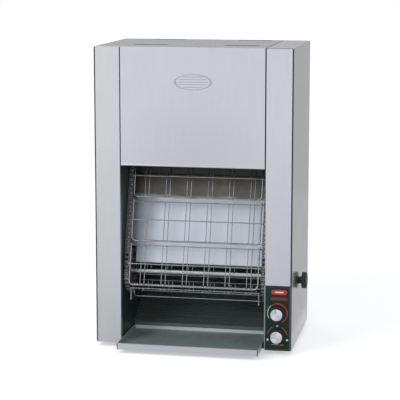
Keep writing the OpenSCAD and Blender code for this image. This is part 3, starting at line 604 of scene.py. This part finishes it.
def nothing_selected():
    if bpy.context.mode != "OBJECT":
        bpy.ops.object.mode_set(mode="OBJECT")
    bpy.ops.object.select_all(action="DESELECT")


def only(piece):
    nothing_selected()
    piece.select_set(True)
    bpy.context.view_layer.objects.active = piece


def apply_place(piece):
    """Puts a piece's place, turn and size into its mesh."""
    only(piece)
    bpy.ops.object.transform_apply(location=True, rotation=True, scale=True)


def settle(piece, name, material, body):
    """Puts the place of a finished piece into its mesh, names it, paints it and lets it ride."""
    apply_place(piece)
    piece.name = name
    piece.data.name = name
    piece.data.materials.clear()
    piece.data.materials.append(material)
    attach(piece, body)


def edit(piece):
    only(piece)
    bpy.ops.object.mode_set(mode="EDIT")
    bpy.ops.mesh.select_all(action="SELECT")


def done_editing():
    bpy.ops.object.mode_set(mode="OBJECT")


def block(location, size):
    """New box, its middle and its size in metres, open for editing."""
    nothing_selected()
    bpy.ops.mesh.primitive_cube_add(size=1, location=location)
    piece = bpy.context.object
    piece.scale = size
    apply_place(piece)
    edit(piece)
    return piece


def pick(piece, kind, wanted):
    """Selects, while a piece is edited, only the faces or edges that pass the test."""
    bpy.ops.mesh.select_mode(type=kind)
    bpy.ops.mesh.select_all(action="DESELECT")
    mesh = bmesh.from_edit_mesh(piece.data)
    for element in mesh.faces if kind == "FACE" else mesh.edges:
        element.select = wanted(element)
    bmesh.update_edit_mesh(piece.data)


def extrude(move):
    bpy.ops.mesh.extrude_region_move(TRANSFORM_OT_translate={"value": move})


def break_edges(piece):
    """Breaks the sharp edges of a small piece with one narrow face each."""
    only(piece)
    edge = piece.modifiers.new("edges", "BEVEL")
    edge.width = 0.00015
    edge.segments = 1
    edge.limit_method = "ANGLE"
    edge.angle_limit = math.radians(40)
    bpy.ops.object.modifier_apply(modifier=edge.name)


def smooth(piece, angle):
    only(piece)
    bpy.ops.object.shade_smooth_by_angle(angle=math.radians(angle))


def face_forward(piece):
    """Turns an open shell round if its faces look back into the casing."""
    ahead = sum(face.normal.y * face.area for face in piece.data.polygons)
    if ahead > 0:
        edit(piece)
        bpy.ops.mesh.flip_normals()
        done_editing()


# ---- Oval on the hood ----

OVAL_X, OVAL_Z = 283, 754
OVAL_HALF_WIDTH, OVAL_HALF_HEIGHT = 54, 22.6
# From the edge to the middle: share of the oval's size, and height above the hood in millimetres
OVAL_STEPS = ((0.985, 0.22), (0.967, 0.46), (0.947, 0.55), (0.925, 0.46), (0.905, 0.22),
              (0.888, 0.08), (0.86, 0.06), (0.6, 0.16), (0.3, 0.2))
RIM_START = 0.89                  # the rim's inner edge, as a share of the oval
RIB_COUNT = 5
RIB_HALF_HEIGHT = 0.9
RIB_SPREAD = 1.28                 # from the lowest rib to the highest, in half heights
# Half width and half height of the oval that the ribs fill, as shares of the whole
RIB_FIELD = (0.8, 0.86)


def oval_plate():
    """Oval embossed in the hood: a low rounded rim round the field that carries the ribs; the rim
    is darker, a painted shade of its relief.
    """
    middle = place(OVAL_X, -0.02, OVAL_Z)
    nothing_selected()
    bpy.ops.mesh.primitive_circle_add(vertices=96, radius=1, location=middle,
                                      rotation=(math.pi / 2, 0, 0))
    plate = bpy.context.object
    plate.scale = (OVAL_HALF_WIDTH / 1000, OVAL_HALF_HEIGHT / 1000, 1)
    apply_place(plate)
    edit(plate)
    reach, height = 1.0, 0.0
    for next_reach, next_height in OVAL_STEPS:
        bpy.ops.mesh.extrude_edges_move()
        k = next_reach / reach
        bpy.ops.transform.resize(value=(k, 1, k), center_override=middle)
        bpy.ops.transform.translate(value=(0, -(next_height - height) / 1000, 0))
        reach, height = next_reach, next_height
    bpy.ops.mesh.edge_face_add()
    bpy.ops.mesh.select_all(action="SELECT")
    bpy.ops.mesh.normals_make_consistent(inside=False)
    done_editing()
    face_forward(plate)
    smooth(plate, 60)
    settle(plate, "hood_plate", materials["stainless_front"], "casing")
    # The rim's faces get the darker steel: painted shade
    plate.data.materials.append(materials["stamped_rim_shade"])
    for face in plate.data.polygons:
        across = (face.center.x - middle.x) / (OVAL_HALF_WIDTH / 1000)
        up = (face.center.z - middle.z) / (OVAL_HALF_HEIGHT / 1000)
        face.material_index = int(math.hypot(across, up) > RIM_START)


def oval_ribs():
    """Raised ribs from side to side across the oval's plain field, darker as a painted shade of
    their relief.
    """
    # Thickness below the raised face, height of that face above it, and the slope at each end
    base, crown, end_slope = 0.6, 0.25, 0.6
    for k in range(RIB_COUNT):
        up = (k - (RIB_COUNT - 1) / 2) / (RIB_COUNT - 1) * RIB_SPREAD
        reach = OVAL_HALF_WIDTH * RIB_FIELD[0] * math.sqrt(1 - (up / RIB_FIELD[1]) ** 2)
        z = OVAL_Z + up * OVAL_HALF_HEIGHT
        rib = block(place(OVAL_X, -base / 2, z),
                    (2 * reach / 1000, base / 1000, 2 * RIB_HALF_HEIGHT / 1000))
        pick(rib, "FACE", lambda face: face.normal.y < -0.9)
        extrude((0, -crown / 1000, 0))
        bpy.ops.transform.resize(value=(1 - end_slope / reach, 1, 0.5),
                                 center_override=place(OVAL_X, -base - crown, z))
        done_editing()
        settle(rib, f"oval_rib_{k}", materials["stamped_rim_shade"], "casing")


# ---- Strip under the chute ----

def chute_apron():
    """Folded strip under the chute's hem that closes the gap above the pan's rear lip."""
    low, high = PAN_REAR_TOP + 0.5, CHUTE_FOOT[1] + CHUTE_SKIN
    sheet, in_front_of_foot = 0.0006, 0.3
    strip = block(place(OPENING_X, CHUTE_FOOT[0] - in_front_of_foot, (low + high) / 2),
                  ((COLUMN_RIGHT - COLUMN_LEFT - 1) / 1000, sheet, (high - low) / 1000))
    crest = place(0, 0, high).z
    # The upper face is raised, and the front of what was raised is drawn forward into a ledge
    pick(strip, "FACE", lambda face: face.normal.z > 0.9)
    extrude((0, 0, sheet))
    pick(strip, "FACE",
         lambda face: face.normal.y < -0.9 and face.calc_center_median().z > crest)
    extrude((0, -2 * sheet, 0))
    done_editing()
    break_edges(strip)
    settle(strip, "chute_apron", materials["apron_steel"], "casing")


# ---- Printed marks on the control panel ----

# How far the bars and arcs are let into the panel's face, in millimetres
LET_IN = 0.1


def flat_bar(name, x0, x1, z0, z1, material, radius, thick=0.35):
    """Thin printed bar with round corners on the panel's face, all in millimetres."""
    bar = block(place((x0 + x1) / 2, LET_IN - thick / 2, (z0 + z1) / 2),
                ((x1 - x0) / 1000, thick / 1000, (z1 - z0) / 1000))

    def runs_back(edge):
        a, b = (v.co for v in edge.verts)
        same = 1e-7
        return abs(a.x - b.x) < same and abs(a.z - b.z) < same

    pick(bar, "EDGE", runs_back)
    bpy.ops.mesh.bevel(offset=radius / 1000, segments=8, affect="EDGES")
    done_editing()
    settle(bar, name, material, "casing")


def arc_band(name, x, z, radius, width, start, end, material):
    """Printed arc round a dial. Angles run clockwise from the top, in degrees."""
    thick, degrees_per_step = 0.4, 5
    centre = place(x, LET_IN - thick / 2, z)
    turn = math.radians(start)
    at = centre + Vector((math.sin(turn), 0, math.cos(turn))) * radius / 1000
    nothing_selected()
    bpy.ops.mesh.primitive_plane_add(size=1, location=at, rotation=(0, turn + math.pi / 2, 0))
    band = bpy.context.object
    band.scale = (width / 1000, thick / 1000, 1)
    apply_place(band)
    edit(band)
    bpy.ops.mesh.spin(steps=max(3, int(abs(end - start) / degrees_per_step)),
                      angle=math.radians(start - end), center=centre, axis=(0, 1, 0))
    bpy.ops.mesh.select_all(action="SELECT")
    bpy.ops.mesh.remove_doubles(threshold=0.000001)
    bpy.ops.mesh.normals_make_consistent(inside=False)
    done_editing()
    settle(band, name, material, "casing")


def round_dot(name, x, z, radius, material):
    """Round printed dot on the panel's face, all in millimetres."""
    thick, deeper = 0.6, 0.1
    nothing_selected()
    bpy.ops.mesh.primitive_cylinder_add(vertices=32, radius=radius / 1000, depth=thick / 1000,
                                        location=place(x, LET_IN + deeper - thick / 2, z),
                                        rotation=(math.pi / 2, 0, 0))
    dot = bpy.context.object
    break_edges(dot)
    settle(dot, name, material, "casing")


def panel_print():
    """Painted shade along the right border and under the column's cover, bars, the scales round the
    two dials and small marks under them.
    """
    red = printed("ink_red", linear(205, 40, 44))
    dark_red = printed("ink_dark_red", linear(120, 30, 34))
    cream = printed("ink_cream", linear(206, 206, 188))
    faint = printed("ink_faint", linear(124, 118, 92))
    white = printed("ink_white", linear(246, 248, 246))
    warm = printed("ink_warm", linear(168, 66, 58))
    brown = printed("ink_brown", linear(104, 58, 44))
    # Painted shade of the frame's edge beside the panel
    edge = printed("painted_border_shade", linear(50, 60, 60))
    # Painted shadow under the column's cover
    shadow = printed("painted_cover_shadow", linear(20, 26, 24))
    light = printed("ink_pale_red", linear(238, 214, 212))
    bottom, top = 0.6, 185.4
    # Painted shade along the panel's right border and on the side panel's return
    flat_bar("panel_right_border_shade", 557.6, 560.9, bottom, top, edge, 0.4)
    flat_bar("panel_return", 561.1, 562.9, bottom, top, materials["panel_edge_shade"], 0.1, thick=0.6)
    # Painted shadow under the column's cover, along the panel's top
    flat_bar("panel_top_shadow", 491, 557, top - 3.8, top, shadow, 0.4)
    flat_bar("panel_bottom_line", 494, 556, 2.6, 4.4, brown, 0.4)
    flat_bar("panel_red_bar", 507, 552, 162, 175.4, red, 6.4)
    flat_bar("panel_red_bar_line", 517, 542, 166.4, 171, light, 2.2, thick=0.6)
    flat_bar("panel_stripe", 506, 553, 145.6, 154, dark_red, 1)
    # Toast colour scale: pale for light toast, deepening to red for dark
    arc_band("colour_scale_light", DIAL_X, COLOUR_Z, 27.6, 2.3, -122, -42, cream)
    arc_band("colour_scale_warm", DIAL_X, COLOUR_Z, 27.8, 2.1, -42, -12, warm)
    arc_band("colour_scale_dark", DIAL_X, COLOUR_Z, 27.6, 2.8, -12, 150, red)
    half_tick = 1.1
    for k, a in enumerate((-74, -62, -50)):
        arc_band(f"colour_tick_{k}", DIAL_X, COLOUR_Z, 32, 3.2, a - half_tick, a + half_tick, faint)
    # Power scale
    arc_band("power_scale_left", DIAL_X, POWER_Z, 27.5, 2.8, -80, -28, warm)
    arc_band("power_scale_right", DIAL_X, POWER_Z, 27.5, 2.8, 26, 82, warm)
    arc_band("power_mark_top", DIAL_X, POWER_Z, 28.5, 3.6, -6, 6, cream)
    flat_bar("power_mark_off", 495.0, 499.8, 27.6, 34.6, white, 1.8)
    round_dot("power_mark_on", 552.6, 32.2, 3.1, white)
    half_line = 0.55
    for k, (x0, x1, z, ink) in enumerate(((508, 530, 17.5, cream), (532, 544, 17.2, cream),
                                          (515, 523, 12.6, dark_red), (526, 536, 12.8, dark_red))):
        flat_bar(f"panel_fine_mark_{k}", x0, x1, z - half_line, z + half_line, ink, 0.4)


# ---- Weld beads of the baskets ----

# The chain loop, as the source lays it out
CHAIN_PITCH = 12.7
RUN_LINKS, WRAP_LINKS, BASKET_LINKS = 40, 15, 10
FIRST_LINK = 1.181
LINK_DEGREES = 180 / WRAP_LINKS
PITCH_RADIUS = CHAIN_PITCH / (2 * math.sin(math.radians(LINK_DEGREES / 2)))
LOWER_SHAFT = (281, 88.7, 194.4)
LEAN = 16
BASKET_COUNT = 11
# A basket in its own frame, in millimetres: the chain's pitch line is Z and -Y is outwards
BASKET_HALF = 186
BASKET_FRONT, BASKET_BACK, BASKET_TOP = -11.25, 19, 56
PAIR_COUNT, PAIR_GAP = 6, 12
WIRE_RADIUS = 1.2
BEAD_SHAPE = (1.15, 0.9, 1.0)


def shift(x, y, z):
    return Matrix.Translation(Vector((x, y, z)))


def roll(degrees):
    return Matrix.Rotation(math.radians(degrees), 4, "X")


def basket_frame(number):
    """Where a basket's own frame lies on the chain loop, as the source places it."""
    pitch = CHAIN_PITCH / 1000
    out = shift(0, -PITCH_RADIUS / 1000, 0)
    upper_shaft = shift(0, 0, RUN_LINKS * pitch)
    # Links beyond the loop's start, the front run, the upper wrap and the rear run
    links = FIRST_LINK + (number - 1) * BASKET_LINKS
    past_front = links - RUN_LINKS
    past_top = past_front - WRAP_LINKS
    past_rear = past_top - RUN_LINKS
    if past_front < 0:
        middle = shift(0, 0, links * pitch)
    elif past_top < 0:
        middle = upper_shaft @ roll(-past_front * LINK_DEGREES)
    elif past_rear < 0:
        middle = upper_shaft @ roll(180) @ shift(0, 0, past_top * pitch)
    else:
        middle = roll(180 - past_rear * LINK_DEGREES)
    return Matrix.Translation(place(*LOWER_SHAFT)) @ roll(-LEAN) @ (middle @ out)


def weld_places():
    """Crossings of a basket's wires in its own frame, with the bead's radius."""
    pitch = (2 * BASKET_HALF - PAIR_GAP) / (PAIR_COUNT - 0.2)
    uprights = [(k - (PAIR_COUNT - 1) / 2) * pitch + side * PAIR_GAP / 2
                for k in range(PAIR_COUNT) for side in (-1, 1)]
    tie = BASKET_BACK + WIRE_RADIUS
    beads = []
    for x in uprights:
        beads += [(x, tie, -BASKET_TOP, 1.9),           # lower cross wire
                  (x, tie, BASKET_TOP, 1.9),            # upper cross wire
                  (x, BASKET_BACK, -56.8, 1.7),         # shelf wire, at the back
                  (x, BASKET_FRONT, -58.2, 2.2)]        # shelf wire, on the frame
    for side in (-1, 1):
        x, keeper_x = side * BASKET_HALF, side * 188.6
        beads += [(x, BASKET_FRONT, BASKET_TOP, 2.6),   # top bar, on the frame
                  (x, 19.6, BASKET_TOP, 2.4),           # top bar, at the back
                  (keeper_x, -13.6, 0, 2.2)]            # corner of the keeper wire
    return beads


def weld_beads():
    """Beads of one basket, made once and set on every basket."""
    nothing_selected()
    beads = []
    for x, y, z, radius in weld_places():
        # The place serves as the turn too, so that no two beads look alike
        bpy.ops.mesh.primitive_uv_sphere_add(segments=8, ring_count=5, radius=radius / 1000,
                                             location=(x / 1000, y / 1000, z / 1000),
                                             rotation=(x, y, z))
        bead = bpy.context.object
        bead.scale = BEAD_SHAPE
        beads.append(bead)
    nothing_selected()
    for bead in beads:
        bead.select_set(True)
    bpy.context.view_layer.objects.active = beads[0]
    bpy.ops.object.join()
    pattern = bpy.context.object
    apply_place(pattern)
    smooth(pattern, 80)
    bodies = frame["record"]["behaviour"]["bodies"]
    for number in range(1, BASKET_COUNT + 1):
        body = next(b for b, members in bodies.items() if f"basket_{number}" in members)
        welds = pattern.copy()
        welds.data = pattern.data.copy()
        bpy.context.scene.collection.objects.link(welds)
        welds.data.transform(basket_frame(number))
        settle(welds, f"basket_welds_{number}", materials["bright_wire"], body)
    bpy.data.objects.remove(pattern)


# ---- Floor, backdrop and light ----

def cleared_tree(owner):
    """Empty node tree of a material or a world."""
    owner.use_nodes = True
    owner.node_tree.nodes.clear()
    return owner.node_tree


def combined(tree, operation, a, b):
    """One operation on the values of two sockets."""
    node = tree.nodes.new("ShaderNodeMath")
    node.operation = operation
    tree.links.new(a, node.inputs[0])
    tree.links.new(b, node.inputs[1])
    return node.outputs["Value"]


def seen_directly(tree):
    """1 for rays from the camera, and for what metal and glass show."""
    path = tree.nodes.new("ShaderNodeLightPath").outputs
    first = combined(tree, "MAXIMUM", path["Is Camera Ray"], path["Is Glossy Ray"])
    return combined(tree, "MAXIMUM", first, path["Is Transmission Ray"])


def floor_glow(tree):
    """Glow by distance from the part: stronger where the lamps no longer reach the floor."""
    seen, mirrored, far = 0.44, 0.2, 0.5
    start, end = 0.8, 3.0
    near = tree.nodes.new("ShaderNodeMapRange")
    near.inputs["To Min"].default_value = mirrored
    near.inputs["To Max"].default_value = seen
    path = tree.nodes.new("ShaderNodeLightPath")
    tree.links.new(path.outputs["Is Camera Ray"], near.inputs["Value"])
    distance = tree.nodes.new("ShaderNodeVectorMath")
    distance.operation = "LENGTH"
    coordinates = tree.nodes.new("ShaderNodeTexCoord")
    tree.links.new(coordinates.outputs["Object"], distance.inputs[0])
    spread = tree.nodes.new("ShaderNodeMapRange")
    spread.inputs["From Min"].default_value = start
    spread.inputs["From Max"].default_value = end
    spread.inputs["To Max"].default_value = far
    tree.links.new(near.outputs["Result"], spread.inputs["To Min"])
    tree.links.new(distance.outputs["Value"], spread.inputs["Value"])
    return combined(tree, "MULTIPLY", seen_directly(tree), spread.outputs["Result"])


def set_floor():
    """Floor of white paper that glows a little, so that it stays white far out."""
    nothing_selected()
    bpy.ops.mesh.primitive_plane_add(size=40, location=(0, 0, 0))
    floor = bpy.context.object
    floor.name = "floor"
    material = bpy.data.materials.new("floor")
    tree = cleared_tree(material)
    paper = tree.nodes.new("ShaderNodeBsdfDiffuse")
    paper.inputs["Color"].default_value = (0.86, 0.86, 0.87, 1)
    glow = tree.nodes.new("ShaderNodeEmission")
    tree.links.new(floor_glow(tree), glow.inputs["Strength"])
    both = tree.nodes.new("ShaderNodeAddShader")
    tree.links.new(paper.outputs["BSDF"], both.inputs[0])
    tree.links.new(glow.outputs["Emission"], both.inputs[1])
    surface = tree.nodes.new("ShaderNodeOutputMaterial").inputs["Surface"]
    tree.links.new(both.outputs["Shader"], surface)
    floor.data.materials.append(material)


def set_world():
    """White where it is seen, and a weaker, cool light on the part."""
    world = bpy.data.worlds.new("studio")
    bpy.context.scene.world = world
    tree = cleared_tree(world)
    soft = tree.nodes.new("ShaderNodeBackground")
    soft.inputs["Color"].default_value = (0.93, 0.96, 1.0, 1)
    soft.inputs["Strength"].default_value = 0.66
    white = tree.nodes.new("ShaderNodeBackground")
    white.inputs["Color"].default_value = (1, 1, 1, 1)
    white.inputs["Strength"].default_value = 1.0
    choose = tree.nodes.new("ShaderNodeMixShader")
    tree.links.new(seen_directly(tree), choose.inputs["Fac"])
    tree.links.new(soft.outputs["Background"], choose.inputs[1])
    tree.links.new(white.outputs["Background"], choose.inputs[2])
    surface = tree.nodes.new("ShaderNodeOutputWorld").inputs["Surface"]
    tree.links.new(choose.outputs["Shader"], surface)


def aimed(location, target, axis):
    """Turn that points an object's axis from its place at the target."""
    return (Vector(target) - Vector(location)).to_track_quat(axis, "Y").to_euler()


def soft_box(name, location, target, size, power):
    bpy.ops.object.light_add(type="AREA", location=location)
    lamp = bpy.context.object
    lamp.name = name
    lamp.data.shape = "RECTANGLE"
    lamp.data.size, lamp.data.size_y = size
    lamp.data.energy = power
    lamp.rotation_euler = aimed(location, target, "-Z")


def grey_card(name, location, target, size, value):
    """Grey studio card that only reflections show."""
    nothing_selected()
    bpy.ops.mesh.primitive_plane_add(size=1, location=location)
    card = bpy.context.object
    card.name = name
    card.scale = (size[0], size[1], 1)
    card.rotation_euler = aimed(location, target, "Z")
    material = bpy.data.materials.new(name)
    tree = cleared_tree(material)
    glow = tree.nodes.new("ShaderNodeEmission")
    glow.inputs["Color"].default_value = (value, value, value * 1.03, 1)
    surface = tree.nodes.new("ShaderNodeOutputMaterial").inputs["Surface"]
    tree.links.new(glow.outputs["Emission"], surface)
    card.data.materials.append(material)
    card.visible_camera = False
    card.visible_diffuse = False
    card.visible_shadow = False


# ---- The scene ----

bpy.context.scene.view_settings.view_transform = "Standard"
set_camera()
dress_nodes()
oval_plate()
oval_ribs()
chute_apron()
panel_print()
weld_beads()
set_floor()
set_world()
soft_box("key_lamp", location=(-2.2, -2.6, 2.6), target=(0, 0, 0.45), size=(1.8, 1.8), power=44)
soft_box("fill_lamp", location=(2.8, -2.0, 1.6), target=(0, 0, 0.4), size=(2.8, 2.8), power=9)
grey_card("back_card", location=(0.3, 2.6, 1.3), target=(0.3, 0, 1.3), size=(4.6, 2.6), value=0.5)
grey_card("side_card", location=(1.35, 0.95, 0.004), target=(1.35, 0.95, 2), size=(2.1, 3.3),
          value=0.53)
